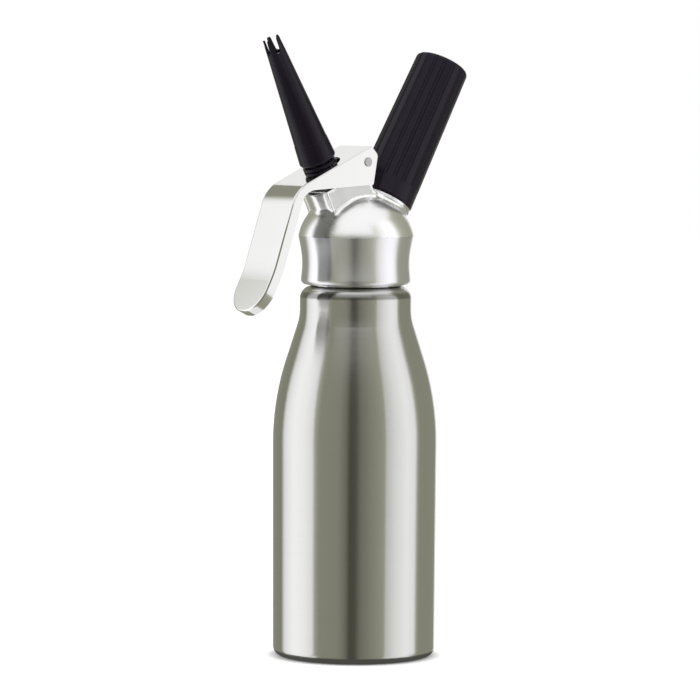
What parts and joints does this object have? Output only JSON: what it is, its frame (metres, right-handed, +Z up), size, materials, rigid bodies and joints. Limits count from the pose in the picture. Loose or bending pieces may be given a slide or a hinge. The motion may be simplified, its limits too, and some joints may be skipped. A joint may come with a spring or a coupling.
{
  "type": "whipped cream dispenser",
  "caption": "Steel pressure bottle with a screwed-on head, a lever valve with a toothed piping nozzle, and a fluted holder that screws a gas charger onto a piercing pin.",
  "frame": {"origin": "centre of the bottle's foot, on the table", "axes": "+Z up along the bottle, -X towards the nozzle and the lever, +X towards the charger holder, +Y completes a right-handed frame"},
  "size_m": [0.1305, 0.081, 0.3057],
  "materials": {
    "bottle_steel": "satin stainless steel, finely brushed round the bottle",
    "head_steel": "satin cast stainless steel, slightly brighter than the bottle",
    "lever_steel": "polished stainless steel sheet",
    "inner_steel": "machined stainless steel",
    "charger_steel": "bare bright steel gas cylinder",
    "black_plastic": "near-black plastic with a soft sheen",
    "rubber": "black sealing rubber"
  },
  "bodies": {
    "bottle": {"bottle": "bottle_steel"},
    "gasket": {"head_gasket": "rubber"},
    "head": {"head": "head_steel", "lever_pin": "head_steel", "stem_oring": "rubber", "valve_gland": "inner_steel", "valve_spring": "inner_steel", "charger_seal": "rubber", "pin_holder": "inner_steel", "piercing_pin": "inner_steel", "check_valve": "rubber"},
    "lever": {"lever": "lever_steel"},
    "valve": {"valve_stem": "inner_steel", "valve_seal": "rubber", "seal_washer": "inner_steel", "valve_nut": "inner_steel", "nozzle_adapter": "black_plastic", "adapter_oring": "rubber"},
    "nozzle_seal": {"nozzle_seal": "rubber"},
    "nozzle": {"nozzle": "black_plastic", "nozzle_insert": "inner_steel"},
    "charger": {"gas_charger": "charger_steel"},
    "holder": {"charger_holder": "black_plastic", "holder_insert": "inner_steel"}
  },
  "joints": [
    {"name": "head_travel", "type": "slide", "parent": "bottle", "child": "gasket", "axis": [0, 0, 1], "range_m": [0, 0.014]},
    {"name": "head_turn", "type": "hinge", "parent": "gasket", "child": "head", "pos_m": [0, 0, 0.19], "axis": [0, 0, 1], "range_deg": [0, 1260.5]},
    {"name": "lever_press", "type": "hinge", "parent": "head", "child": "lever", "pos_m": [-0.00251, 0, 0.24404], "axis": [0, -1, 0], "range_deg": [0, 8]},
    {"name": "valve_stroke", "type": "slide", "parent": "head", "child": "valve", "axis": [0.4274, 0, -0.9041], "range_m": [0, 0.00254], "stiffness_N_per_m": 500, "springref_m": -0.004, "deforming": ["valve_spring"]},
    {"name": "nozzle_travel", "type": "slide", "parent": "valve", "child": "nozzle_seal", "axis": [-0.4274, 0, 0.9041], "range_m": [0, 0.006]},
    {"name": "nozzle_turn", "type": "hinge", "parent": "nozzle_seal", "child": "nozzle", "pos_m": [0, 0, 0.196], "axis": [-0.4274, 0, 0.9041], "range_deg": [0, 1440.5]},
    {"name": "holder_travel", "type": "slide", "parent": "head", "child": "charger", "axis": [0.4756, 0, 0.8796], "range_m": [0, 0.01]},
    {"name": "holder_turn", "type": "hinge", "parent": "charger", "child": "holder", "pos_m": [0, 0, 0.196], "axis": [0.4756, 0, 0.8796], "range_deg": [0, 1800.5]}
  ],
  "couplings": [
    {"joint": "head_turn", "follows": "head_travel", "rad_per_m": 1570.8},
    {"joint": "lever_press", "follows": "valve_stroke", "rad_per_m": 54.765},
    {"joint": "nozzle_turn", "follows": "nozzle_travel", "rad_per_m": 4188.8},
    {"joint": "holder_turn", "follows": "holder_travel", "rad_per_m": 3141.6}
  ]
}
